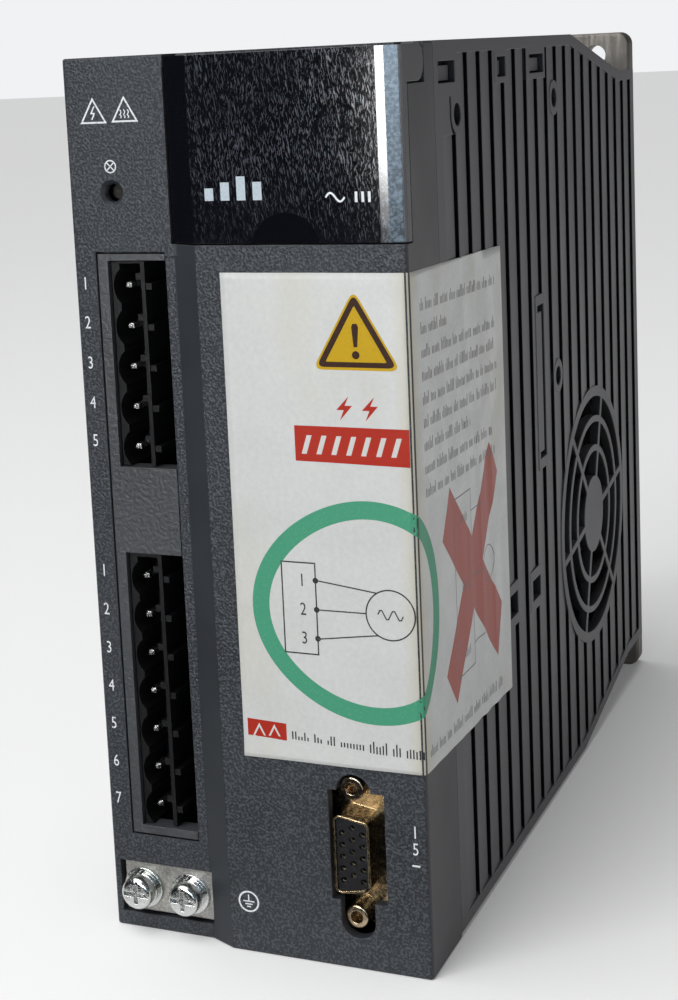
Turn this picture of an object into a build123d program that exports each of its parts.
"""Compact panel-mounted servo drive: plastic case on an aluminium rear plate and heat sink,
keypad behind a flip-up door, terminal headers, encoder connector and a side cooling fan.

Axes: +X to the drive's right, +Y from its front to its rear, +Z up.
Origin: centre of the overall box in X and Y, at the level the drive stands on.
The helpers below measure `across` from the left side, `deep` from the raised front face
and `up` from the bottom, in millimetres. Cutting bodies run 1 mm past the faces they cut."""
import os
from math import cos, radians, sin

from build123d import *

os.makedirs("parts", exist_ok=True)

# ---- overall sizes -------------------------------------------------------------------
width = 66.0
height = 168.0
depth = 184.0
front_proud = 0.9        # earth screw heads ahead of the raised face
label_thick = 0.12

# ---- clearances ----------------------------------------------------------------------
seam = 0.2               # butt joints between case parts
swing_gap = 0.3          # round everything that moves
push_gap = 0.25          # keys in their holes
pin_gap = 0.05           # turning pins and shafts
thread_gap = 0.05        # round screw shanks in their holes
seat_gap = 0.1           # parts that drop into pockets

# ---- case ----------------------------------------------------------------------------
wall = 2.2
side_thick = 2.4
plate_thick = 5.0
plate_inset = 1.0
plate_corner = 3.0
cover_depth = 17.2       # front cover, front to rear
step_back = 2.5          # terminal side of the front lies this far back
step_left = 20.8         # bevel between the two front levels
step_right = 26.0
case_low = 1.0
rear_low = 9.4           # case is cut back here so that the plate's holes can be reached
rear_high = height - rear_low
cut_back_start = depth - 68.8
cut_back_end = depth - 21.4
edge_round = 0.8

plate_front = depth - plate_thick
case_front = cover_depth + seam
case_rear = plate_front - seam
side_inner = width - side_thick
control_board_across = side_inner - 5.2

# ---- louvres -------------------------------------------------------------------------
louvre_first = 28.7
louvre_pitch = 8.1
louvre_slit = 1.1
louvre_drop = 0.45
louvre_depth = 1.3
louvre_slant = 1.6
louvre_land = 0.4
louvre_margin = 2.4
louvre_count = int((case_rear - louvre_margin - louvre_first) / louvre_pitch) + 1

# ---- fan -----------------------------------------------------------------------------
fan_at = (depth - 55.8, 55.0)
fan_size = 60.0
fan_thick = 15.0
fan_hole_pitch = 50.0
fan_bore = 27.8
blade_reach = 26.8
fan_hub = 13.5
fan_shaft = 1.5
fan_boss = 2.0
grille_radius = 28.2
grille_hub = 9.1
grille_rings = (15.8, 22.8)
grille_bar = 1.5
grille_thick = 2.0
spoke_start = 10.0
spoke_count = 6

fan_right = side_inner - fan_boss
fan_left = fan_right - fan_thick

# ---- door and hinge ------------------------------------------------------------------
door_left = 20.7
door_high = height - 0.4
door_low = door_high - 33.2
pane_thick = 1.6
door_thick = 3.0
door_border = 3.2
door_round_start = width - 4.5
door_round_drop = 0.75
pane_right = width - 0.6
knuckle = 3.35
hinge_deep = knuckle + 5.25
hinge_up = height - knuckle
arm_thick = 2.3
arm_inset = 0.2
hinge_pin = 1.0
pin_from_end = 1.0
pin_in_beam = 4.0
scoop_centre = 43.8
scoop_half = 6.5
scoop_high = 5.4
scoop_deep = 0.9

hinge_clear = knuckle + swing_gap
hinge_low = hinge_up - hinge_clear
hinge_rear = hinge_deep + hinge_clear

# ---- keypad --------------------------------------------------------------------------
key_count = 5
key_pitch = 5.9
key_first = 31.2
key_up = door_low + 8.8
key_radius = 2.1
key_flange = 2.6
key_travel = 0.4
key_front = 2.4
key_flange_thick = 0.8
pan_thick = 2.0
panel_board_deep = 9.4
panel_board_thick = 1.2
panel_left, panel_right = 24.0, control_board_across - 0.5
panel_low, panel_top = door_low + 1.6, hinge_low - wall - 0.8
display_box = ((29.0, control_board_across - 1.4), (panel_top - 10.2, panel_top - 0.8))
display_gap = 0.3

# ---- terminals -----------------------------------------------------------------------
pole_pitch = 7.62
pin_across = 9.55
pin_front = 5.0
pin_size = 1.0
upper_poles, upper_pole_ends = 5, (3.42, 4.9)   # from the window's ends to the end poles
lower_poles, lower_pole_ends = 7, (3.48, 5.2)
lower_window_low = 21.4
window_land = 16.5       # bezel between the two windows
bezel_left, bezel_right = 5.0, 18.7
bezel_gap = 0.4
bezel_rear, bezel_lip = 6.2, 1.6
window_left = 7.0
header_wall_across = 13.2

lower_first = lower_window_low + lower_pole_ends[0] + (lower_poles - 1) * pole_pitch
lower_window = (lower_window_low, lower_first + lower_pole_ends[1])
upper_window_low = lower_window[1] + window_land
upper_first = upper_window_low + upper_pole_ends[0] + (upper_poles - 1) * pole_pitch
upper_window = (upper_window_low, upper_first + upper_pole_ends[1])
bezel_low, bezel_high = lower_window[0] - 1.6, upper_window[1] + 1.2

# ---- earth terminal ------------------------------------------------------------------
earth_recess = ((1.55, 21.3), (3.0, 13.6))
earth_screws_at = ((6.2, 8.3), (16.2, 8.3))
earth_tab_front = 3.4
tab_thick = 1.6
m4_radius, m4_head, m4_head_tall = 2.0, 3.2, 2.5
flat_washer, flat_thick = 4.0, 0.8
split_washer, split_thick = 3.3, 1.0
tab_across, tab_up = (2.2, 20.9), (3.4, 13.3)
link_across = 13.0       # the tab's tail to the heat sink starts here
link_foot_left = 22.0    # and ends in a foot that starts here
link_foot_past = 5.0

# ---- encoder connector ---------------------------------------------------------------
dsub_at = (control_board_across - 7.4, 21.9)
jack_spacing = 24.99
jack_radius, jack_thread, jack_front = 2.3, 1.2, 1.5
shell_wide, shell_long, shell_slope = 7.0, 15.6, 0.6
shell_front, flange_front, flange_thick = 0.2, 6.5, 0.8
flange_wide, flange_long = 12.5, 30.8
dsub_cut = ((dsub_at[0] - 4.1, dsub_at[0] + 6.8), (dsub_at[1] - 8.7, dsub_at[1] + 12.6))

# ---- boards, heat sink and what stands on them ---------------------------------------
board_thick = 1.6
power_board_across = 19.4
power_board_deep, power_board_up = (15.5, depth - 16.0), (14.0, height - 19.0)
control_board_deep, control_board_up = (9.0, 92.0), (8.0, panel_top - 8.0)
sink_across = (26.0, 31.0)
sink_deep = 62.0
sink_up = (12.0, height - 12.0)
fin_thick = 1.6
fin_pitch = 6.0
m3_radius, m3_head, m3_head_tall = 1.5, 2.6, 1.8
fin_tip = fan_left - m3_head_tall - 0.8
board_hole = m3_radius + 0.1
head_hole = m3_head + 0.3

# ---- screw places --------------------------------------------------------------------
side_screws_at = (
    (30.6, height - 13.5), (fan_at[0] - 28.5, height - 13.3), (fan_at[0] - 30.1, fan_at[1] + 38.9)
)
side_hole, side_thread, cup_radius, cup_deep, cup_floor = 2.15, 1.2, 3.4, 6.6, 1.2
side_thread_deep = 9.0
mount_hole, mount_inset, mount_low = 2.5, 9.5, 5.5
sink_screw_count, sink_screw_end = 4, 18.0
sink_screw_pitch = (sink_up[1] - sink_up[0] - 2 * sink_screw_end) / (sink_screw_count - 1)
plate_to_sink_up = [
    sink_up[0] + sink_screw_end + index * sink_screw_pitch for index in range(sink_screw_count)
]
plate_to_case_up = (40.0, height - 40.0)
case_boss_across = (5.4, width - 5.6)
case_boss_long, case_boss_half, case_boss_tapped = 14.0, 3.2, 13.0

left_x = -(width + label_thick) / 2
front_y = -(depth + front_proud) / 2 + front_proud


# ---- planes and plain shapes ---------------------------------------------------------
def front_plane(deep):
    """Sketch plane facing forwards: local x is across, local y is up."""
    return Plane(origin=(left_x, front_y + deep, 0), x_dir=(1, 0, 0), z_dir=(0, -1, 0))


def side_plane(across):
    """Sketch plane facing right: local x is deep, local y is up."""
    return Plane(origin=(left_x + across, front_y, 0), x_dir=(0, 1, 0), z_dir=(1, 0, 0))


def level_plane(up):
    """Sketch plane facing up: local x is across, local y is deep."""
    return Plane(origin=(left_x, front_y, up), x_dir=(1, 0, 0), z_dir=(0, 0, 1))


def block(across, deep, up, mode=Mode.ADD):
    """Rectangular solid between three pairs of limits."""
    with BuildSketch(level_plane(up[0])) as base:
        with Locations((sum(across) / 2, sum(deep) / 2)):
            Rectangle(across[1] - across[0], deep[1] - deep[0])
    extrude(base.sketch, amount=up[1] - up[0], mode=mode)


def rounds(plane, centres, radius, length, mode=Mode.ADD):
    """Round bars standing on a plane at each centre."""
    with BuildSketch(plane) as ends:
        with Locations(*centres):
            Circle(radius)
    extrude(ends.sketch, amount=length, mode=mode)


def bars_deep(centres, radius, deep, mode=Mode.ADD):
    """Round bars along the depth, centres given as (across, up)."""
    rounds(front_plane(deep[1]), centres, radius, deep[1] - deep[0], mode)


def bars_across(centres, radius, across, mode=Mode.ADD):
    """Round bars across the width, centres given as (deep, up)."""
    rounds(side_plane(across[0]), centres, radius, across[1] - across[0], mode)


def cross_slots(centre, deep, reach, half, along_depth):
    """Crossed driver slots cut into a head: reach and half are half their length and width."""
    for long_way, short_way in ((reach, half), (half, reach)):
        first = (centre[0] - long_way, centre[0] + long_way)
        second = (centre[1] - short_way, centre[1] + short_way)
        if along_depth:
            block(first, deep, second, Mode.SUBTRACT)
        else:
            block(deep, first, second, Mode.SUBTRACT)


def prism_up(points, up, mode=Mode.ADD):
    """Upright prism on an outline of (across, deep) points."""
    with BuildSketch(level_plane(up[0])) as outline:
        with BuildLine():
            Polyline(*points, close=True)
        make_face()
    extrude(outline.sketch, amount=up[1] - up[0], mode=mode)


def case_outline(across, inset=0.0):
    """Side outline of the case behind the front cover, drawn inside its outer faces."""
    with BuildSketch(side_plane(across)) as outline:
        with BuildLine():
            Polyline(
                (case_front, case_low),
                (cut_back_start, case_low),
                (cut_back_end, rear_low),
                (case_rear, rear_low),
                (case_rear, rear_high),
                (cut_back_end, rear_high),
                (cut_back_start, height),
                (case_front, height),
                close=True,
            )
        make_face()
        if inset:
            offset(amount=-inset, kind=Kind.INTERSECTION)
    return outline.sketch


def finish(piece, name):
    """Label a piece and write its file."""
    piece.part.label = name
    export_step(piece.part, f"parts/{name}.step")


# ---- rear plate ----------------------------------------------------------------------
mount_points = [
    (across, up)
    for across in (mount_inset, width - mount_inset)
    for up in (mount_low, height - mount_low)
]
sink_middle = sum(sink_across) / 2
plate_screw_points = [(sink_middle, up) for up in plate_to_sink_up] + [
    (across, up) for across in case_boss_across for up in plate_to_case_up
]
countersink = m3_head - m3_radius

with BuildPart() as rear_plate:
    block((plate_inset, width - plate_inset), (plate_front, depth), (0, height))
    fillet(rear_plate.edges().filter_by(Axis.Y), plate_corner)
    fillet(rear_plate.faces().filter_by(Axis.Y).edges(), edge_round)
    bars_deep(mount_points, mount_hole, (plate_front - 1, depth + 1), Mode.SUBTRACT)
    bars_deep(
        plate_screw_points, m3_radius + thread_gap, (plate_front - 1, depth + 1), Mode.SUBTRACT
    )
    with BuildSketch(front_plane(depth)) as sinks:
        with Locations(*plate_screw_points):
            Circle(m3_head + thread_gap)
    extrude(sinks.sketch, amount=countersink, taper=45, mode=Mode.SUBTRACT)
finish(rear_plate, "rear_plate")

sink_screw_reach = 12.0
slot_sunk, slot_reach, slot_half = 0.8, 1.6, 0.3
with BuildPart() as plate_screws:
    bars_deep(
        plate_screw_points, m3_radius, (plate_front - sink_screw_reach, depth - countersink)
    )
    with BuildSketch(front_plane(depth)) as heads:
        with Locations(*plate_screw_points):
            Circle(m3_head)
    extrude(heads.sketch, amount=countersink, taper=45)
    for point in plate_screw_points:
        cross_slots(point, (depth - slot_sunk, depth + 1), slot_reach, slot_half, True)
finish(plate_screws, "plate_screws")

# ---- heat sink -----------------------------------------------------------------------
cover_post_points = side_screws_at[1:]
post_radius = 3.2
post_end = side_inner - cup_deep
module_deep, module_up = (84.0, 142.0), (58.0, 100.0)
device_inset = 4.0
module_screw_points = [
    (module_deep[0] + device_inset, sum(module_up) / 2),
    (module_deep[1] - device_inset, sum(module_up) / 2),
]
rectifier_deep, rectifier_up = (92.0, 122.0), (108.0, 124.0)
rectifier_screw_point = (sum(rectifier_deep) / 2, rectifier_up[1] - device_inset)
spacer_radius = 3.0
power_spacer_points = [
    (deep, up) for deep in (70.0, power_board_deep[1] - 4.0)
    for up in (power_board_up[0] + 5.0, power_board_up[1] - 5.0)
]
control_spacer_points = [(66.0, control_board_up[0] + 16.0), (66.0, control_board_up[1] - 7.0)]
earth_link_point = (sink_middle, 24.0)
tapped_depth = 4.2
board_screw_reach = tapped_depth - 0.4
link_tapped = 8.0
fin_first = sink_deep + 12.0
fin_count = int((plate_front - 6.0 - fin_first) / fin_pitch) + 1
fin_clear = post_radius + fin_thick / 2 + 0.5
fin_top_inset = 4.0

with BuildPart() as heat_sink:
    block(sink_across, (sink_deep, plate_front), sink_up)
    for index in range(fin_count):
        fin_deep = fin_first + index * fin_pitch
        if all(abs(fin_deep - deep) > fin_clear for deep, up in cover_post_points):
            block(
                (sink_across[1], fin_tip),
                (fin_deep - fin_thick / 2, fin_deep + fin_thick / 2),
                (sink_up[0], sink_up[1] - fin_top_inset),
            )
    bars_deep(
        [(sink_middle, up) for up in plate_to_sink_up],
        m3_radius + thread_gap,
        (plate_front - sink_screw_reach - 1, plate_front),
        Mode.SUBTRACT,
    )
    bars_deep(
        [earth_link_point], m3_radius + thread_gap, (sink_deep, sink_deep + link_tapped), Mode.SUBTRACT
    )
    bars_across(
        module_screw_points + power_spacer_points + [rectifier_screw_point],
        m3_radius + thread_gap,
        (sink_across[0], sink_across[0] + tapped_depth),
        Mode.SUBTRACT,
    )
finish(heat_sink, "heat_sink")

# ---- main shell: left wall, top and bottom -------------------------------------------
vent_pitch = 6.6
vent_wide = 2.6
vent_first = 34.0
vent_margin = 7.0
vent_count = int((case_rear - wall - vent_margin - vent_first) / vent_pitch) + 1
vent_across = ((9.0, 29.0), (35.0, 55.0))
tab_windows = ((19.9, 29.9), (57.0, 63.0), (80.3, 91.6))
window_up = (height - 7.6, height - 3.7)
latch_windows = [
    (
        (fan_at[0] + front, fan_at[0] + rear),
        (fan_at[1] + low, fan_at[1] + high),
    )
    for front, rear, low, high in ((-72.3, -66.6, -4.2, 0.6), (-55.2, -48.9, -5.5, -1.0))
]
slot_deep = (fan_at[0] - 43.3, fan_at[0] - 41.2)
slot_up = (fan_at[1] + 23.6, fan_at[1] + 56.7)
slot_hook, slot_hook_thick = 3.1, 1.5
seam_at_side = side_inner - seam
tab_gap, tab_low, tab_high, tab_root, tab_sunk = 1.1, 0.4, 0.8, 2.4, 1.0

with BuildPart() as louvre_cuts:
    for index in range(louvre_count):
        slit = louvre_first + index * louvre_pitch
        prism_up(
            [
                (width, slit - louvre_pitch + louvre_slit / 2 + louvre_land),
                (width - louvre_drop, slit - louvre_slit / 2),
                (width - louvre_depth, slit - louvre_slit / 2 + louvre_slant),
                (width - louvre_depth, slit + louvre_slit / 2 + louvre_slant),
                (width, slit + louvre_slit / 2),
                (width + 1, slit + louvre_slit / 2),
                (width + 1, slit - louvre_pitch + louvre_slit / 2 + louvre_land),
            ],
            (0, height),
        )
    extrude(case_outline(side_inner, louvre_margin), amount=side_thick + 1, mode=Mode.INTERSECT)

left_louvres = mirror(louvre_cuts.part, about=Plane.YZ.offset(left_x + width / 2))

with BuildPart() as main_shell:
    extrude(case_outline(0), amount=seam_at_side)
    extrude(case_outline(wall, wall), amount=width, mode=Mode.SUBTRACT)
    block(
        (wall, width), (case_front - 1, case_front + wall + 1), (case_low + wall, height - wall),
        Mode.SUBTRACT,
    )
    block(
        (wall, width), (case_rear - wall - 1, case_rear + 1), (rear_low + wall, rear_high - wall),
        Mode.SUBTRACT,
    )
    add(left_louvres, mode=Mode.SUBTRACT)
    for index in range(vent_count):
        vent_deep = vent_first + index * vent_pitch
        for vent in vent_across:
            span = (vent_deep - vent_wide / 2, vent_deep + vent_wide / 2)
            block(vent, span, (rear_high - wall - 1, height + 1), Mode.SUBTRACT)
            block(vent, span, (-1, rear_low + wall + 1), Mode.SUBTRACT)
    for window in tab_windows:
        tab = (window[0] + tab_gap, window[1] - tab_gap)
        block((seam_at_side - tab_root, seam_at_side), tab, (window_up[0] + tab_low, height - wall))
        block((seam_at_side, width - tab_sunk), tab, (window_up[0] + tab_low, window_up[1] - tab_high))
    bars_across([side_screws_at[0]], cup_radius, (wall, post_end))
    bars_across(
        [side_screws_at[0]], side_thread + thread_gap, (post_end - side_thread_deep, post_end), Mode.SUBTRACT
    )
    for up in plate_to_case_up:
        block(
            (wall, case_boss_across[0] + 3.0), (case_rear - case_boss_long, case_rear),
            (up - case_boss_half, up + case_boss_half),
        )
        bars_deep(
            [(case_boss_across[0], up)], m3_radius + thread_gap,
            (case_rear - case_boss_tapped, case_rear), Mode.SUBTRACT,
        )
finish(main_shell, "main_shell")

# ---- side cover ----------------------------------------------------------------------
fan_screw_points = [
    (fan_at[0] + sx * fan_hole_pitch / 2, fan_at[1] + sy * fan_hole_pitch / 2)
    for sx in (-1, 1) for sy in (-1, 1)
]
control_boss_deep = 22.0
control_boss_points = [
    (control_boss_deep, control_board_up[0] + 10.0), (control_boss_deep, control_board_up[1] - 7.0)
]
screw_into_cover = 0.3
fan_screw_end = side_inner + screw_into_cover
fan_boss_radius, control_boss_radius = 3.2, 3.0
window_border, latch_border, land_radius = 1.9, 0.4, 1.6

# The first slit bends round the first screw hole and runs on a little way above it.
bend_radius, bend_top = 4.0, height - 10.1
bend_centre = side_screws_at[0]
bend_up = bend_centre[1] - (bend_radius**2 - (bend_centre[0] - louvre_first) ** 2) ** 0.5
bend_end = (bend_centre[0] - bend_radius, bend_centre[1])
bend_turn = radians(210)
bend_middle = (
    bend_centre[0] + bend_radius * cos(bend_turn), bend_centre[1] + bend_radius * sin(bend_turn)
)

with BuildPart() as side_louvres:
    add(louvre_cuts.part)
    span = (side_inner - 1, width + 2)
    bars_across([fan_at], grille_radius + 2.4, span, Mode.SUBTRACT)
    bars_across(side_screws_at, side_hole + land_radius, span, Mode.SUBTRACT)
    block(
        span, (case_front, tab_windows[0][1] + land_radius), (window_up[0] - 2.8, height), Mode.SUBTRACT
    )
    for window in tab_windows[1:]:
        block(
            span, (window[0] - window_border, window[1] + 1.0), (window_up[0] - 1.2, height), Mode.SUBTRACT
        )
    for deep, up in latch_windows:
        block(
            span, (deep[0] - window_border, deep[1] + latch_border), (up[0] - 2.1, up[1] + 2.2),
            Mode.SUBTRACT,
        )
    block(
        span, (slot_deep[0] - slot_hook - 1.2, slot_deep[1] + 1.0), (slot_up[0] - 2.3, slot_up[1] + 2.2),
        Mode.SUBTRACT,
    )
    block(
        span, (case_front, louvre_first + louvre_slit / 2 + louvre_slant), (bend_up, height), Mode.SUBTRACT
    )
    with BuildSketch(side_plane(width - louvre_depth)) as bend:
        with BuildLine():
            Line((louvre_first, bend_up - louvre_slit), (louvre_first, bend_up))
            ThreePointArc((louvre_first, bend_up), bend_middle, bend_end)
            Line(bend_end, (bend_end[0], bend_top))
        trace(line_width=louvre_slit)
    extrude(bend.sketch, amount=louvre_depth + 1)

with BuildPart() as side_cover:
    extrude(case_outline(side_inner), amount=side_thick)
    bars_across([fan_at], grille_radius, (side_inner - 1, width + 1), Mode.SUBTRACT)
    with BuildSketch(side_plane(width - grille_thick)) as grille:
        with Locations(fan_at):
            for ring in sorted(grille_rings, reverse=True):
                Circle(ring + grille_bar / 2)
                Circle(ring - grille_bar / 2, mode=Mode.SUBTRACT)
            Circle(grille_hub)
            with PolarLocations((grille_radius + grille_hub) / 2, spoke_count, start_angle=spoke_start):
                Rectangle(grille_radius - grille_hub + 1.5, grille_bar)
    extrude(grille.sketch, amount=grille_thick)
    bars_across(fan_screw_points, fan_boss_radius, (side_inner - fan_boss, side_inner))
    bars_across(
        fan_screw_points, m3_radius + thread_gap, (side_inner - fan_boss, fan_screw_end), Mode.SUBTRACT
    )
    bars_across(side_screws_at, cup_radius, (post_end, side_inner))
    bars_across(side_screws_at, side_hole, (post_end + cup_floor, width + 1), Mode.SUBTRACT)
    bars_across(side_screws_at, side_thread + thread_gap, (post_end - 1, width), Mode.SUBTRACT)
    control_boss = (control_board_across + board_thick, side_inner)
    bars_across(control_boss_points, control_boss_radius, control_boss)
    bars_across(
        control_boss_points, m3_radius + thread_gap,
        (control_boss[0], control_boss[1] + screw_into_cover), Mode.SUBTRACT,
    )
    for up in plate_to_case_up:
        block(
            (case_boss_across[1] - 2.8, side_inner), (case_rear - case_boss_long, case_rear),
            (up - case_boss_half, up + case_boss_half),
        )
        bars_deep(
            [(case_boss_across[1], up)], m3_radius + thread_gap,
            (case_rear - case_boss_tapped, case_rear), Mode.SUBTRACT,
        )
    add(side_louvres.part, mode=Mode.SUBTRACT)
    through = (side_inner - 1, width + 1)
    for window in tab_windows:
        block(through, window, window_up, Mode.SUBTRACT)
    for deep, up in latch_windows:
        block(through, deep, up, Mode.SUBTRACT)
    block(through, slot_deep, slot_up, Mode.SUBTRACT)
    hook = (slot_deep[0] - slot_hook, slot_deep[1])
    block(through, hook, (slot_up[1] - slot_hook_thick, slot_up[1]), Mode.SUBTRACT)
    block(through, hook, (slot_up[0], slot_up[0] + slot_hook_thick), Mode.SUBTRACT)
finish(side_cover, "side_cover")

side_head_tall, side_slot_sunk, side_slot_reach, side_slot_half = 1.6, 0.7, 1.2, 0.25
head_start = post_end + cup_floor
head_end = head_start + side_head_tall
with BuildPart() as side_cover_screws:
    bars_across(side_screws_at, side_hole - 0.25, (head_start, head_end))
    bars_across(side_screws_at, side_thread, (post_end - side_thread_deep + 1.0, head_start))
    for point in side_screws_at:
        cross_slots(
            point, (head_end - side_slot_sunk, head_end + 1), side_slot_reach, side_slot_half, False
        )
finish(side_cover_screws, "side_cover_screws")

with BuildPart() as cover_posts:
    bars_across(cover_post_points, post_radius, (sink_across[1], post_end))
    bars_across(
        cover_post_points, side_thread + thread_gap, (post_end - side_thread_deep, post_end), Mode.SUBTRACT
    )
finish(cover_posts, "cover_posts")

# ---- front cover ---------------------------------------------------------------------
pocket_low = door_low - swing_gap
pocket_left = door_left - swing_gap
beam = (door_left + arm_thick + swing_gap, width - arm_thick - swing_gap)
beam_front = 4.6
beam_relief_up = 0.6       # the relief for the door's bevelled end starts this far above the pins
pocket_deep = door_thick + swing_gap
left_pocket_deep = step_back + door_thick + swing_gap
bezel_open = ((bezel_left - bezel_gap, bezel_right + 0.2), (bezel_low - bezel_gap, bezel_high + bezel_gap))
key_points = [(key_first + index * key_pitch, key_up) for index in range(key_count)]
panel_screw_points = [(panel_left + 1.4, panel_top - 8.0), (control_board_across + 1.2, panel_top - 4.0)]
lamp_at = (8.72, height - 24.5)
lamp_hole, lamp_sink_radius, lamp_sink_deep = 1.7, 2.4, 0.7
signal_window = ((control_board_across - 12.4, control_board_across - 2.4), (58.0, 104.0))
jack_points = [(dsub_at[0], dsub_at[1] + side * jack_spacing / 2) for side in (-1, 1)]
lobe_shift = 0.9
lobe_across, lobe_half = dsub_at[0] + lobe_shift, jack_radius + lobe_shift + 0.15
step_wall_right = step_right + 1.7
outer = [(0, step_back), (step_left, step_back), (step_right, 0), (width, 0)]
tongue_across = ((3.5, 11.0), (44.0, 52.0))
tongue_root, tongue_long, tongue_thick = 4.0, 5.0, 1.6
bevel_clear = 0.5
pillar_radius, pillar_bore, pillar_tapped = 2.0, 0.9, 3.5

bevel_run, bevel_drop = step_right - step_left, step_back
bevel_length = (bevel_run**2 + bevel_drop**2) ** 0.5


def behind_door(offset_in):
    """Left end and bevel corner of a skin this far behind the door's outer face."""
    start = (
        step_left + offset_in * bevel_drop / bevel_length,
        step_back + offset_in * bevel_run / bevel_length,
    )
    corner = start[0] + (start[1] - offset_in) * bevel_run / bevel_drop
    return start, (corner, offset_in)


back_start, back_corner = behind_door(door_thick)
back_at_beam = back_start[1] - (beam[0] - back_start[0]) * bevel_drop / bevel_run
back_reach = hinge_deep - back_at_beam - swing_gap
beam_relief = hinge_deep - (back_reach**2 - (height - hinge_up) ** 2) ** 0.5

with BuildPart() as front_cover:
    prism_up(outer + [(width, cover_depth), (0, cover_depth)], (0, height))
    fillet(front_cover.edges().filter_by(Axis.Z).group_by(Axis.Y)[0:2], edge_round)
    fillet(
        [e for e in front_cover.edges() if e.center().Z in (0, height) and e.center().Y < front_y + 15],
        edge_round * 0.6,
    )
    prism_up(
        [
            (wall, step_back + wall), (step_left - 0.3, step_back + wall), (step_right + 0.4, wall),
            (width - wall, wall), (width - wall, cover_depth + 1), (wall, cover_depth + 1),
        ],
        (wall, height - wall), Mode.SUBTRACT,
    )
    pan_up = (pocket_low - wall, height - wall)
    block((pocket_left - wall, width - 1), (wall, pocket_deep + pan_thick), pan_up)
    block((pocket_left - wall, step_wall_right), (wall, left_pocket_deep + pan_thick), pan_up)
    block((pocket_left - wall, width - 1), (wall, hinge_rear + wall), (hinge_low - wall, height - wall))
    block((pocket_left, width + 1), (-1, pocket_deep), (pocket_low, height + 1), Mode.SUBTRACT)
    block(
        (pocket_left, step_right + bevel_clear), (-1, left_pocket_deep), (pocket_low, height + 1),
        Mode.SUBTRACT,
    )
    block((pocket_left, beam[0]), (-1, hinge_rear), (hinge_low, height + 1), Mode.SUBTRACT)
    block((beam[1], width + 1), (-1, hinge_rear), (hinge_low, height + 1), Mode.SUBTRACT)
    block((beam[0], beam[1]), (-1, beam_front), (hinge_low, height + 1), Mode.SUBTRACT)
    block(
        (beam[0], step_right + bevel_clear), (-1, beam_relief),
        (hinge_up + beam_relief_up, height + 1), Mode.SUBTRACT,
    )
    pin_bore = pin_in_beam + swing_gap
    for span in ((beam[0] - 1, beam[0] + pin_bore), (beam[1] - pin_bore, beam[1] + 1)):
        bars_across([(hinge_deep, hinge_up)], hinge_pin + pin_gap, span, Mode.SUBTRACT)
    block(bezel_open[0], (0, bezel_rear + swing_gap), bezel_open[1], Mode.SUBTRACT)
    block(earth_recess[0], (-1, step_back + wall + 1), earth_recess[1], Mode.SUBTRACT)
    bars_deep([lamp_at], lamp_hole, (0, step_back + wall + 1), Mode.SUBTRACT)
    with BuildSketch(front_plane(step_back)) as lamp_sink:
        with Locations(lamp_at):
            Circle(lamp_sink_radius)
    extrude(lamp_sink.sketch, amount=-lamp_sink_deep, taper=45, mode=Mode.SUBTRACT)
    block(dsub_cut[0], (-1, wall + 1), dsub_cut[1], Mode.SUBTRACT)
    block(
        (lobe_across - lobe_half, lobe_across + lobe_half), (-1, wall + 1),
        (jack_points[0][1], jack_points[1][1]), Mode.SUBTRACT,
    )
    bars_deep([(lobe_across, up) for across, up in jack_points], lobe_half, (-1, wall + 1), Mode.SUBTRACT)
    block(signal_window[0], (-1, wall + 1), signal_window[1], Mode.SUBTRACT)
    bars_deep(key_points, key_radius + push_gap, (0, pocket_deep + pan_thick + 1), Mode.SUBTRACT)
    block(display_box[0], (0, pocket_deep + pan_thick + 1), display_box[1], Mode.SUBTRACT)
    bars_deep(panel_screw_points, pillar_radius, (pocket_deep + pan_thick, panel_board_deep))
    bars_deep(
        panel_screw_points, pillar_bore, (panel_board_deep - pillar_tapped, panel_board_deep), Mode.SUBTRACT
    )
    tongue_low, tongue_high = case_low + wall + tongue_thick, height - wall - tongue_thick
    for across in tongue_across:
        tongue_foot = (cover_depth - tongue_root, cover_depth)
        tongue = (tongue_foot[0], cover_depth + tongue_long)
        block(across, tongue, (tongue_high, height - wall - seat_gap))
        block(across, tongue, (case_low + wall + seat_gap, tongue_low))
        block(across, tongue_foot, (tongue_high, height - wall))
        block(across, tongue_foot, (wall, tongue_low))
finish(front_cover, "front_cover")

# ---- flip-up door --------------------------------------------------------------------
pane_start, pane_corner = behind_door(pane_thick)
round_end = (pane_right, door_round_drop)
round_reach = pane_right - door_round_start
round_radius = (round_reach**2 + door_round_drop**2) / (2 * door_round_drop)
round_centre = (door_round_start, round_radius)
half_turn = radians(90) - 0.5 * (round_reach / round_radius)
round_middle = (
    round_centre[0] + round_radius * cos(half_turn),
    round_centre[1] - round_radius * sin(half_turn),
)
scoop_radius = (scoop_half**2 + scoop_deep**2) / (2 * scoop_deep)

with BuildPart() as door_window:
    with BuildSketch(level_plane(door_low)) as pane:
        with BuildLine():
            Polyline((step_left, step_back), (step_right, 0), (door_round_start, 0))
            ThreePointArc((door_round_start, 0), round_middle, round_end)
            Polyline(round_end, (pane_right, pane_thick), pane_corner, pane_start, (step_left, step_back))
        make_face()
    extrude(pane.sketch, amount=door_high - door_low)
    with Locations(
        (left_x + scoop_centre, front_y + scoop_deep - scoop_radius, door_low + scoop_high - scoop_half)
    ):
        Sphere(scoop_radius, mode=Mode.SUBTRACT)
finish(door_window, "door_window")

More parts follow.
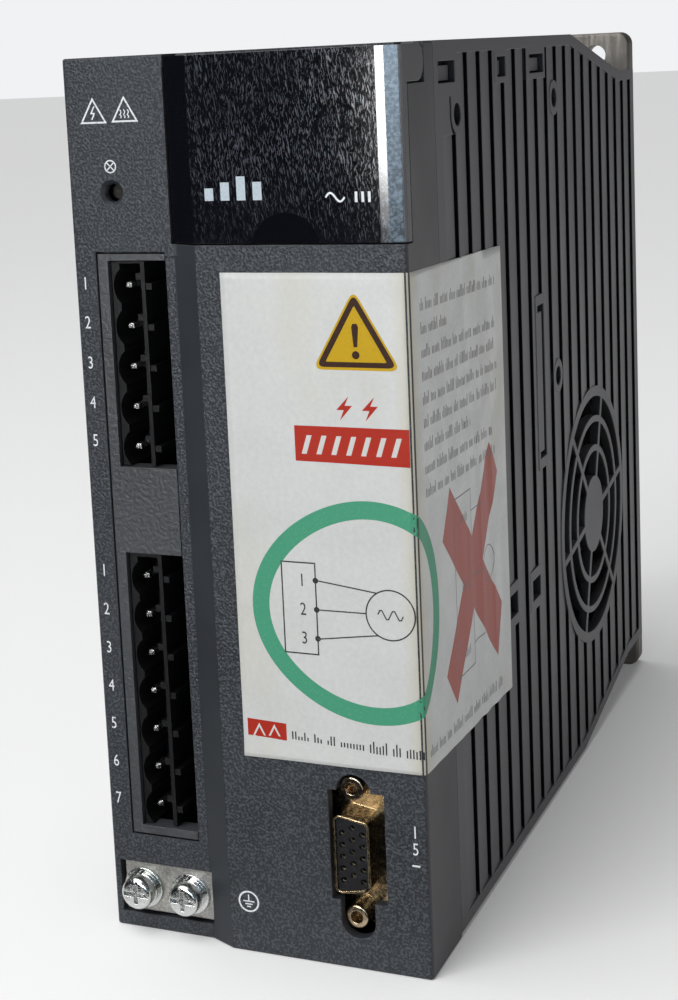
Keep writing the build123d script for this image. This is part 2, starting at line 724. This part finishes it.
pin_ends = (door_left + pin_from_end, width - 0.8)
with BuildPart() as door_frame:
    prism_up(
        [
            pane_start, pane_corner, (pane_right, pane_thick), round_end, (width, door_round_drop + 0.3),
            (width, door_thick), back_corner, back_start,
        ],
        (door_low, door_high),
    )
    block(
        (step_right + 0.4, width - 2.0 - door_border), (0, door_thick + 1),
        (door_low + door_border + 1.0, hinge_low - 0.6), Mode.SUBTRACT,
    )
    for arm in ((door_left + arm_inset, beam[0] - swing_gap), (beam[1] + swing_gap, width)):
        deep_start = door_thick - 0.6 if arm[0] > step_right else step_back + 1.6
        block(arm, (deep_start, hinge_deep), (hinge_up - knuckle, door_high))
        bars_across([(hinge_deep, hinge_up)], knuckle, arm)
    for span in ((pin_ends[0], beam[0]), (beam[1], pin_ends[1])):
        bars_across([(hinge_deep, hinge_up)], hinge_pin, span, Mode.SUBTRACT)
finish(door_frame, "door_frame")

with BuildPart() as hinge_pins:
    for span in ((pin_ends[0], beam[0] + pin_in_beam), (beam[1] - pin_in_beam, pin_ends[1])):
        bars_across([(hinge_deep, hinge_up)], hinge_pin, span)
finish(hinge_pins, "hinge_pins")

# ---- keypad and display behind the door ----------------------------------------------
pan_back = pocket_deep + pan_thick
flange_start = pan_back + 0.3
flange_end = flange_start + key_flange_thick
key_edge = 0.5
for index, (across, up) in enumerate(key_points):
    with BuildPart() as key:
        bars_deep([(across, up)], key_radius, (key_front, flange_start))
        bars_deep([(across, up)], key_flange, (flange_start, flange_end))
        fillet(key.faces().sort_by(Axis.Y)[0].edges(), key_edge)
    finish(key, f"key_{index + 1}")

switch_front = flange_end + key_travel + 0.1
switch_half, plunger_radius, plunger_long = 2.6, 1.3, 1.0
with BuildPart() as key_switches:
    for across, up in key_points:
        block(
            (across - switch_half, across + switch_half), (switch_front + plunger_long, panel_board_deep),
            (up - switch_half, up + switch_half),
        )
        bars_deep([(across, up)], plunger_radius, (switch_front, switch_front + plunger_long))
finish(key_switches, "key_switches")

panel_board_back = panel_board_deep + panel_board_thick
panel_hole, panel_thread, panel_head, panel_head_tall = 1.1, 0.85, 1.9, 1.4
panel_arm_past, panel_arm_gap = 3.2, 0.5   # the arm that reaches over the control board
with BuildPart() as panel_board:
    board_span = (panel_board_deep, panel_board_back)
    block((panel_left, panel_right), board_span, (panel_low, panel_top))
    block(
        (panel_right, control_board_across + panel_arm_past), board_span,
        (control_board_up[1] + panel_arm_gap, panel_top),
    )
    bars_deep(panel_screw_points, panel_hole, (panel_board_deep - 1, panel_board_back + 1), Mode.SUBTRACT)
finish(panel_board, "panel_board")

with BuildPart() as panel_board_screws:
    bars_deep(
        panel_screw_points, panel_thread, (panel_board_deep - pillar_tapped + swing_gap, panel_board_back)
    )
    bars_deep(panel_screw_points, panel_head, (panel_board_back, panel_board_back + panel_head_tall))
finish(panel_board_screws, "panel_board_screws")

with BuildPart() as display_module:
    (low_a, high_a), (low_u, high_u) = display_box
    block(
        (low_a + display_gap, high_a - display_gap), (pocket_deep + 0.4, panel_board_deep),
        (low_u + display_gap, high_u - display_gap),
    )
finish(display_module, "display_module")

with BuildPart() as panel_connector:
    block(
        (control_board_across - 8.4, control_board_across), (panel_board_back, 17.0),
        (panel_low + 2.0, panel_low + 13.0),
    )
finish(panel_connector, "panel_connector")

# ---- terminal bezel and headers ------------------------------------------------------
header_front, header_rear, header_back_wall = 3.4, 16.5, 13.5
header_left, header_right = 7.3, 14.0
cusp_across = 8.9
window_gap = 0.25
lobe_grow, lobe_shift_right = 0.45, 2.2
coding_tab, coding_tab_half, coding_rib, coding_rib_up = 1.2, 0.6, 1.3, (1.2, 2.4)
coding_back = (0.3, 0.5)  # tabs and ribs start this far behind the header's front
rooted = 0.1             # tabs and ribs run this far into their wall
pin_tip, pin_tip_half, pin_foot, pin_foot_end, solder_past = 0.6, 0.3, 0.8, 1.8, 0.6

with BuildPart() as terminal_bezel:
    block((bezel_left, bezel_right), (step_back, bezel_rear), (bezel_low, bezel_high))
    block(
        (bezel_left - bezel_lip, bezel_right - 0.8), (step_back + wall + seat_gap, bezel_rear),
        (bezel_low - bezel_lip, bezel_high + bezel_lip),
    )
    for window in (upper_window, lower_window):
        block((window_left, bezel_right + 1), (step_back - 1, bezel_rear + 1), window, Mode.SUBTRACT)
finish(terminal_bezel, "terminal_bezel")

for poles, first, window in (
    (upper_poles, upper_first, upper_window),
    (lower_poles, lower_first, lower_window),
):
    pole_points = [(pin_across, first - index * pole_pitch) for index in range(poles)]
    lobe_radius = pole_pitch / 2 + lobe_grow
    with BuildPart() as header:
        span = (window[0] + window_gap, window[1] - window_gap)
        block((header_left, header_right), (header_front, header_rear), span)
        block((header_left, power_board_across), (header_back_wall, header_rear), span)
        lobe_ends = (pole_points[-1][1] - lobe_radius, pole_points[0][1] + lobe_radius)
        cavity_long, cavity_middle = lobe_ends[1] - lobe_ends[0], sum(lobe_ends) / 2
        cavity_wide = header_wall_across - cusp_across
        with BuildSketch(front_plane(header_back_wall)) as cavity:
            with Locations(*[(across + lobe_shift_right, up) for across, up in pole_points]):
                Circle(lobe_radius)
            with Locations((cusp_across + cavity_wide / 2, cavity_middle)):
                Rectangle(cavity_wide, cavity_long)
            with Locations((header_wall_across - cavity_long, cavity_middle)):
                Rectangle(2 * cavity_long, 2 * cavity_long, mode=Mode.INTERSECT)
        extrude(cavity.sketch, amount=header_back_wall - header_front + 1, mode=Mode.SUBTRACT)
        for across, up in pole_points:
            block(
                (header_right - rooted, header_right + coding_tab),
                (header_front + coding_back[0], header_rear),
                (up - coding_tab_half, up + coding_tab_half),
            )
            block(
                (header_wall_across - coding_rib, header_wall_across + rooted),
                (header_front + coding_back[1], header_rear), (up + coding_rib_up[0], up + coding_rib_up[1]),
            )
        for across, up in pole_points:
            block(
                (across - pin_size / 2, across + pin_size / 2), (header_back_wall - 1, header_rear + 1),
                (up - pin_size / 2, up + pin_size / 2), Mode.SUBTRACT,
            )
    finish(header, f"header_{poles}_pole")

    with BuildPart() as pins:
        for across, up in pole_points:
            half = pin_size / 2
            foot = (header_rear + pin_foot, header_rear + pin_foot_end)
            block((across - half, across + half), (pin_front + pin_tip, foot[1]), (up - half, up + half))
            block(
                (across - pin_tip_half, across + pin_tip_half), (pin_front, pin_front + pin_tip),
                (up - pin_tip_half, up + pin_tip_half),
            )
            block(
                (across - half, power_board_across + board_thick + solder_past), foot, (up - half, up + half)
            )
    finish(pins, f"header_{poles}_pins")

# ---- earth terminal ------------------------------------------------------------------
with BuildPart() as earth_tab:
    tail_up = (tab_up[0], tab_up[0] + tab_thick)
    block(tab_across, (earth_tab_front, earth_tab_front + tab_thick), tab_up)
    block((link_across, sink_across[1]), (earth_tab_front + tab_thick, sink_deep), tail_up)
    block((link_across, tab_across[1]), (earth_tab_front, earth_tab_front + tab_thick + 1), tail_up)
    block(
        (link_foot_left, sink_across[1]), (sink_deep - tab_thick, sink_deep),
        (tab_up[0], earth_link_point[1] + link_foot_past),
    )
    bars_deep(
        earth_screws_at, m4_radius + thread_gap, (earth_tab_front - 1, earth_tab_front + 3), Mode.SUBTRACT
    )
    bars_deep([earth_link_point], m3_radius + thread_gap, (sink_deep - 3, sink_deep + 1), Mode.SUBTRACT)
finish(earth_tab, "earth_tab")

flat_front = earth_tab_front - flat_thick
split_front = flat_front - split_thick
head_front = split_front - m4_head_tall
split_gap_half = 0.3
recess_deep, recess_half, recess_long, recess_short = 1.5, 0.45, 2.6, 1.9
m4_head_round, m4_past_tab = 0.9, 4.0
with BuildPart() as earth_flat_washers:
    bars_deep(earth_screws_at, flat_washer, (flat_front, earth_tab_front))
    bars_deep(earth_screws_at, m4_radius + 0.15, (flat_front - 1, earth_tab_front + 1), Mode.SUBTRACT)
finish(earth_flat_washers, "earth_flat_washers")

with BuildPart() as earth_split_washers:
    bars_deep(earth_screws_at, split_washer, (split_front, flat_front))
    bars_deep(earth_screws_at, m4_radius + 0.1, (split_front - 1, flat_front + 1), Mode.SUBTRACT)
    for across, up in earth_screws_at:
        block(
            (across - split_gap_half, across + split_gap_half), (split_front - 1, flat_front + 1),
            (up, up + split_washer + 1), Mode.SUBTRACT,
        )
finish(earth_split_washers, "earth_split_washers")

with BuildPart() as earth_screws:
    bars_deep(earth_screws_at, m4_head, (head_front, split_front))
    fillet(earth_screws.faces().group_by(Axis.Y)[0].edges(), m4_head_round)
    bars_deep(earth_screws_at, m4_radius, (split_front, earth_tab_front + tab_thick + m4_past_tab))
    for across, up in earth_screws_at:
        recess = (head_front - 1, head_front + recess_deep)
        for long_way, tall_way in ((recess_long, recess_half), (recess_half, recess_short)):
            block(
                (across - long_way, across + long_way), recess, (up - tall_way, up + tall_way), Mode.SUBTRACT
            )
finish(earth_screws, "earth_screws")

with BuildPart() as earth_link_screw:
    bars_deep([earth_link_point], m3_head, (sink_deep - tab_thick - m3_head_tall, sink_deep - tab_thick))
    bars_deep([earth_link_point], m3_radius, (sink_deep - tab_thick, sink_deep + link_tapped - 1.0))
finish(earth_link_screw, "earth_link_screw")

# ---- encoder connector ---------------------------------------------------------------
def dsub_outline(plane, grow):
    """D-shaped outline: the long side is on the left, corners rounded."""
    half_wide, half_long = shell_wide / 2 + grow, shell_long / 2 + grow
    across, up = dsub_at
    with BuildSketch(plane) as outline:
        with BuildLine():
            Polyline(
                (across - half_wide, up - half_long), (across - half_wide, up + half_long),
                (across + half_wide, up + half_long - 2 * shell_slope),
                (across + half_wide, up - half_long + 2 * shell_slope), close=True,
            )
        make_face()
        fillet(outline.vertices(), 1.3 + grow)
    return outline.sketch


shell_sheet, flange_round, flange_jack_hole, jack_shank, jack_edge = 0.4, 1.5, 1.5, 1.4, 0.4
with BuildPart() as dsub_shell:
    half_wide, half_long = flange_wide / 2, flange_long / 2
    block(
        (dsub_at[0] - half_wide, dsub_at[0] + half_wide), (flange_front, flange_front + flange_thick),
        (dsub_at[1] - half_long, dsub_at[1] + half_long),
    )
    fillet(dsub_shell.edges().filter_by(Axis.Y), flange_round)
    extrude(dsub_outline(front_plane(flange_front + 0.1), 0), amount=flange_front + 0.1 - shell_front)
    extrude(
        dsub_outline(front_plane(flange_front + 2), -shell_sheet), amount=flange_front + 4,
        mode=Mode.SUBTRACT,
    )
    bars_deep(jack_points, flange_jack_hole, (flange_front - 1, flange_front + 3), Mode.SUBTRACT)
finish(dsub_shell, "dsub_shell")

contact_pitch, contact_row, contact_stagger = 2.29, 1.98, 0.57
contact_radius, contact_bore = 0.62, 0.4
contact_points = [
    (dsub_at[0] + row * contact_row, dsub_at[1] + (index - 2) * contact_pitch + shift)
    for row, shift in ((-1, -contact_stagger), (0, contact_stagger), (1, -contact_stagger))
    for index in range(5)
]
insert_front, insert_rear = shell_front + 0.6, 18.0
insert_left, insert_half_up = 4.8, 9.5
with BuildPart() as dsub_insert:
    extrude(
        dsub_outline(front_plane(flange_front + 4), -shell_sheet), amount=flange_front + 4 - insert_front
    )
    block(
        (dsub_at[0] - insert_left, control_board_across), (flange_front + flange_thick, insert_rear),
        (dsub_at[1] - insert_half_up, dsub_at[1] + insert_half_up),
    )
    bars_deep(contact_points, contact_radius, (insert_front - 1, flange_front), Mode.SUBTRACT)
finish(dsub_insert, "dsub_insert")

with BuildPart() as dsub_contacts:
    bars_deep(contact_points, contact_radius, (insert_front + 0.7, flange_front))
    bars_deep(contact_points, contact_bore, (insert_front, flange_front - 1), Mode.SUBTRACT)
finish(dsub_contacts, "dsub_contacts")

with BuildPart() as jack_screws:
    bars_deep(jack_points, jack_radius, (jack_front, flange_front))
    fillet(jack_screws.faces().group_by(Axis.Y)[0].edges(), jack_edge)
    bars_deep(jack_points, jack_shank, (flange_front, flange_front + 6.0))
    bars_deep(jack_points, jack_thread, (jack_front - 1, flange_front - 0.5), Mode.SUBTRACT)
finish(jack_screws, "jack_screws")

# ---- signal connector behind the label -----------------------------------------------
signal_gap, signal_front, signal_nose, signal_rear, signal_past = 0.3, 0.4, 12.0, 14.0, 1.5
signal_slot, signal_slot_end, signal_slot_deep = (3.6, 6.4), 4.0, 1.6
with BuildPart() as signal_connector:
    (low_a, high_a), (low_u, high_u) = signal_window
    nose_across = (low_a + signal_gap, high_a - signal_gap)
    block(nose_across, (signal_front, signal_nose), (low_u + signal_gap, high_u - signal_gap))
    block(
        (low_a + signal_gap, control_board_across), (wall + 1.0, signal_rear),
        (low_u - signal_past, high_u + signal_past),
    )
    block(
        (low_a + signal_slot[0], low_a + signal_slot[1]), (0, signal_slot_deep),
        (low_u + signal_slot_end, high_u - signal_slot_end), Mode.SUBTRACT,
    )
finish(signal_connector, "signal_connector")

# ---- control board and its parts -----------------------------------------------------
with BuildPart() as control_board:
    block((control_board_across, control_board_across + board_thick), control_board_deep, control_board_up)
    bars_across(
        control_spacer_points + control_boss_points, board_hole,
        (control_board_across - 1, control_board_across + 3), Mode.SUBTRACT,
    )
finish(control_board, "control_board")

chip_face = control_board_across
chip_boxes = (
    ((48.0, 64.0), (92.0, 108.0), 1.4), ((48.0, 58.0), (114.0, 126.0), 1.1),
    ((70.0, 82.0), (92.0, 104.0), 1.2), ((72.0, 80.0), (60.0, 72.0), 2.6),
    ((24.0, 30.0), (110.0, 116.0), 2.2), ((24.0, 30.0), (118.0, 124.0), 2.2),
    ((24.0, 30.0), (126.0, 132.0), 2.2), ((48.0, 60.0), (22.0, 34.0), 3.0),
)
with BuildPart() as control_chips:
    for deep, up, tall in chip_boxes:
        block((chip_face - tall, chip_face), deep, up)
finish(control_chips, "control_chips")

with BuildPart() as control_spacers:
    bars_across(control_spacer_points, spacer_radius, (sink_across[1], control_board_across))
    bars_across(
        control_spacer_points, m3_radius + thread_gap,
        (control_board_across - 8.0, control_board_across), Mode.SUBTRACT,
    )
finish(control_spacers, "control_spacers")

with BuildPart() as control_board_screws:
    board_right = control_board_across + board_thick
    bars_across(control_spacer_points, m3_head, (board_right, board_right + m3_head_tall))
    bars_across(control_spacer_points, m3_radius, (control_board_across - 6.0, board_right))
    bars_across(
        control_boss_points, m3_head, (control_board_across - m3_head_tall, control_board_across)
    )
    bars_across(control_boss_points, m3_radius, (control_board_across, side_inner))
finish(control_board_screws, "control_board_screws")

# ---- power board and its parts -------------------------------------------------------
board_face = power_board_across
board_right = power_board_across + board_thick
with BuildPart() as power_board:
    block((board_face, board_right), power_board_deep, power_board_up)
    bars_across(power_spacer_points, board_hole, (board_face - 1, board_right + 1), Mode.SUBTRACT)
    bars_across(
        module_screw_points + [rectifier_screw_point], head_hole,
        (board_face - 1, board_right + 1), Mode.SUBTRACT,
    )
    for poles, first in ((upper_poles, upper_first), (lower_poles, lower_first)):
        for index in range(poles):
            up = first - index * pole_pitch
            block(
                (board_face - 1, board_right + 1),
                (header_rear + pin_foot - 0.1, header_rear + pin_foot_end + 0.1),
                (up - pin_size / 2 - 0.1, up + pin_size / 2 + 0.1), Mode.SUBTRACT,
            )
finish(power_board, "power_board")

with BuildPart() as power_spacers:
    bars_across(power_spacer_points, spacer_radius, (board_right, sink_across[0]))
    bars_across(
        power_spacer_points, m3_radius + thread_gap, (board_right - 1, sink_across[0] + 1), Mode.SUBTRACT
    )
finish(power_spacers, "power_spacers")

with BuildPart() as power_board_screws:
    bars_across(power_spacer_points, m3_head, (board_face - m3_head_tall, board_face))
    bars_across(power_spacer_points, m3_radius, (board_face, sink_across[0] + board_screw_reach))
finish(power_board_screws, "power_board_screws")

seat = board_right + m3_head_tall + 0.4
device_hole = m3_radius + 0.2
with BuildPart() as power_module:
    block((board_right, sink_across[0]), module_deep, module_up)
    bars_across(module_screw_points, device_hole, (board_right - 1, sink_across[0] + 1), Mode.SUBTRACT)
    bars_across(module_screw_points, head_hole, (board_right - 1, seat), Mode.SUBTRACT)
finish(power_module, "power_module")

with BuildPart() as rectifier_bridge:
    block((board_right + 0.6, sink_across[0]), rectifier_deep, rectifier_up)
    bars_across([rectifier_screw_point], device_hole, (board_right, sink_across[0] + 1), Mode.SUBTRACT)
    bars_across([rectifier_screw_point], head_hole, (board_right, seat), Mode.SUBTRACT)
finish(rectifier_bridge, "rectifier_bridge")

with BuildPart() as power_device_screws:
    device_points = module_screw_points + [rectifier_screw_point]
    bars_across(device_points, m3_head, (seat - m3_head_tall, seat))
    bars_across(device_points, m3_radius, (seat, sink_across[0] + board_screw_reach))
finish(power_device_screws, "power_device_screws")

capacitor_radius, capacitor_long, capacitor_deep = 7.8, 30.0, 40.0
capacitor_across = board_face - capacitor_radius - 0.1
capacitor_lows = (20.0, 56.0, 92.0)
lead_half, lead_spread, lead_drop = 0.4, 3.8, 2.0
with BuildPart() as bus_capacitors:
    for low in capacitor_lows:
        rounds(level_plane(low), [(capacitor_across, capacitor_deep)], capacitor_radius, capacitor_long)
        lead_low = low - lead_drop
        for lead_deep in (capacitor_deep - lead_spread, capacitor_deep + lead_spread):
            block(
                (capacitor_across, board_face), (lead_deep - lead_half, lead_deep + lead_half),
                (lead_low, lead_low + 2 * lead_half),
            )
            rounds(
                level_plane(lead_low), [(capacitor_across + lead_half, lead_deep)], lead_half,
                lead_drop + lead_half,
            )
finish(bus_capacitors, "bus_capacitors")

relay_tall, relay_deep, relay_up = 15.0, (64.0, 80.0), (108.0, 136.0)
with BuildPart() as relay:
    block((board_face - relay_tall, board_face), relay_deep, relay_up)
    fillet(relay.edges().filter_by(Axis.X), 0.8)
finish(relay, "soft_charge_relay")

choke_at, choke_middle = (72.0, 40.0), board_face - 7.0
choke_ring, choke_half_wide, choke_half_thick = 11.0, 5.4, 3.6
choke_base_radius, choke_base_thick = 15.6, 1.8
with BuildPart() as filter_choke:
    with BuildSketch(level_plane(choke_at[1])) as ring_section:
        with Locations((choke_middle, choke_at[0] + choke_ring)):
            Ellipse(choke_half_wide, choke_half_thick)
    axis_of_ring = Axis((left_x, front_y + choke_at[0], choke_at[1]), (1, 0, 0))
    revolve(ring_section.sketch, axis=axis_of_ring, revolution_arc=360)
    bars_across([choke_at], choke_base_radius, (board_face - choke_base_thick, board_face))
finish(filter_choke, "filter_choke")

core_deep, core_up = (100.0, 124.0), (110.0, 132.0)
bobbin_past, bobbin_inset = 3.0, 3.0
with BuildPart() as transformer:
    block((board_face - 15.0, board_face - 1.0), core_deep, core_up)
    block(
        (board_face - 12.5, board_face), (core_deep[0] - bobbin_past, core_deep[1] + bobbin_past),
        (core_up[0] + bobbin_inset, core_up[1] - bobbin_inset),
    )
finish(transformer, "supply_transformer")

fuse_at, fuse_low, fuse_radius, fuse_long = (board_face - 3.4, 24.0), 116.0, 2.6, 20.0
clip_half, clip_long = 1.4, 2.0
with BuildPart() as fuse:
    rounds(level_plane(fuse_low), [fuse_at], fuse_radius, fuse_long)
    for low in (fuse_low, fuse_low + fuse_long - clip_long):
        block(
            (fuse_at[0], board_face), (fuse_at[1] - clip_half, fuse_at[1] + clip_half),
            (low, low + clip_long),
        )
finish(fuse, "line_fuse")

# ---- link board between power and control boards -------------------------------------
link_deep, link_up = 30.0, (60.0, 108.0)
link_end_gap, socket_long, socket_wall = 2.0, 4.6, 2.0
with BuildPart() as link_board:
    block(
        (board_right + link_end_gap, control_board_across - link_end_gap),
        (link_deep, link_deep + board_thick), link_up,
    )
finish(link_board, "link_board")

with BuildPart() as link_connectors:
    for across in (
        (board_right, board_right + socket_long),
        (control_board_across - socket_long, control_board_across),
    ):
        block(
            across, (link_deep - socket_wall, link_deep + board_thick + socket_wall),
            (link_up[0] - socket_wall, link_up[1] + socket_wall),
        )
    block(
        (board_right + link_end_gap - seat_gap, control_board_across - link_end_gap + seat_gap),
        (link_deep - seat_gap / 2, link_deep + board_thick + seat_gap / 2),
        (link_up[0] - seat_gap, link_up[1] + seat_gap), Mode.SUBTRACT,
    )
finish(link_connectors, "link_connectors")

# ---- charge lamp ---------------------------------------------------------------------
lamp_deep = power_board_deep[0] + 2.4
lamp_front, lamp_radius, lamp_edge = 5.4, lamp_hole - 0.15, 0.6
with BuildPart() as charge_lamp:
    bars_deep([lamp_at], lamp_radius, (lamp_front, lamp_deep))
    bars_across([(lamp_deep, lamp_at[1])], lamp_radius, (lamp_at[0], board_face))
    with Locations((left_x + lamp_at[0], front_y + lamp_deep, lamp_at[1])):
        Sphere(lamp_radius)
    fillet(charge_lamp.faces().sort_by(Axis.Y)[0].edges(), lamp_edge)
finish(charge_lamp, "charge_lamp")

# ---- cooling fan ---------------------------------------------------------------------
strut_thick, strut_wide, strut_count, strut_start = 2.2, 3.0, 4, 35
fan_corner, relief_inset, relief_size = 3.5, 3.2, 8.4
fan_screw_hole, shaft_end, rotor_gap = 2.15, 3.0, 0.4
half_fan = fan_size / 2
with BuildPart() as fan_frame:
    with BuildSketch(side_plane(fan_left)) as fan_square:
        with Locations(fan_at):
            RectangleRounded(fan_size, fan_size, fan_corner)
            Circle(fan_bore, mode=Mode.SUBTRACT)
    extrude(fan_square.sketch, amount=fan_thick)
    for sy in (-1, 1):
        for sz in (-1, 1):
            centre = (fan_at[0] + sy * half_fan, fan_at[1] + sz * half_fan)
            block(
                (fan_left + relief_inset, fan_right - relief_inset),
                tuple(sorted((centre[0], centre[0] - sy * relief_size))),
                tuple(sorted((centre[1], centre[1] - sz * relief_size))), Mode.SUBTRACT,
            )
    bars_across(fan_screw_points, fan_screw_hole, (fan_left - 1, fan_right + 1), Mode.SUBTRACT)
    bars_across([fan_at], fan_hub, (fan_left, fan_left + strut_thick))
    with BuildSketch(side_plane(fan_left)) as struts:
        with Locations(fan_at):
            with PolarLocations((fan_bore + fan_hub) / 2, strut_count, start_angle=strut_start):
                Rectangle(fan_bore - fan_hub + 2, strut_wide)
    extrude(struts.sketch, amount=strut_thick)
    bars_across([fan_at], fan_shaft, (fan_left, fan_right - shaft_end))
finish(fan_frame, "fan_frame")

blade_count, blade_long, blade_thick, blade_pitch_angle = 7, 12.0, 1.2, 38.0
blade_sunk = 1.5         # blades start this far inside the hub
rotor_left, rotor_right = fan_left + strut_thick + rotor_gap, fan_right - 2 * rotor_gap
with BuildPart() as fan_rotor:
    for index in range(blade_count):
        turn = radians(index * 360 / blade_count)
        outward = Vector(0, cos(turn), sin(turn))
        hub_centre = Vector(left_x + (rotor_left + rotor_right) / 2, front_y + fan_at[0], fan_at[1])
        foot = hub_centre + outward * (fan_hub - blade_sunk)
        with BuildSketch(Plane(origin=foot, x_dir=(1, 0, 0), z_dir=outward)) as blade:
            Rectangle(blade_long, blade_thick, rotation=blade_pitch_angle)
        extrude(blade.sketch, amount=blade_reach - fan_hub + 4.0)
    bars_across([fan_at], blade_reach, (rotor_left, rotor_right), Mode.INTERSECT)
    bars_across([fan_at], fan_hub, (rotor_left, rotor_right))
    bars_across(
        [fan_at], fan_shaft + pin_gap, (rotor_left - 1, fan_right - shaft_end + swing_gap), Mode.SUBTRACT
    )
finish(fan_rotor, "fan_rotor")

with BuildPart() as fan_screws:
    bars_across(fan_screw_points, m3_head, (fan_left - m3_head_tall, fan_left))
    bars_across(fan_screw_points, m3_radius, (fan_left, fan_screw_end - seat_gap))
finish(fan_screws, "fan_screws")

# ---- paper label wrapped over the front right corner ---------------------------------
label_left, label_rear = 30.8, 55.5
label_up_front, label_up_rear = (39.2, 129.3), (36.7, 127.7)
with BuildPart() as warning_label:
    block(
        (label_left, width + label_thick), (-label_thick, label_rear), (label_up_rear[0], label_up_front[1])
    )
    block((label_left - 1, width), (0, label_rear + 1), (0, height), Mode.SUBTRACT)
    with BuildSketch(side_plane(label_left - 1)) as torn:
        with BuildLine():
            Polyline(
                (-1, label_up_front[0]), (0, label_up_front[0]), (label_rear, label_up_rear[0]),
                (label_rear + 1, label_up_rear[0]), (label_rear + 1, label_up_rear[1]),
                (label_rear, label_up_rear[1]), (0, label_up_front[1]), (-1, label_up_front[1]), close=True,
            )
        make_face()
    extrude(torn.sketch, amount=width, mode=Mode.INTERSECT)
finish(warning_label, "warning_label")
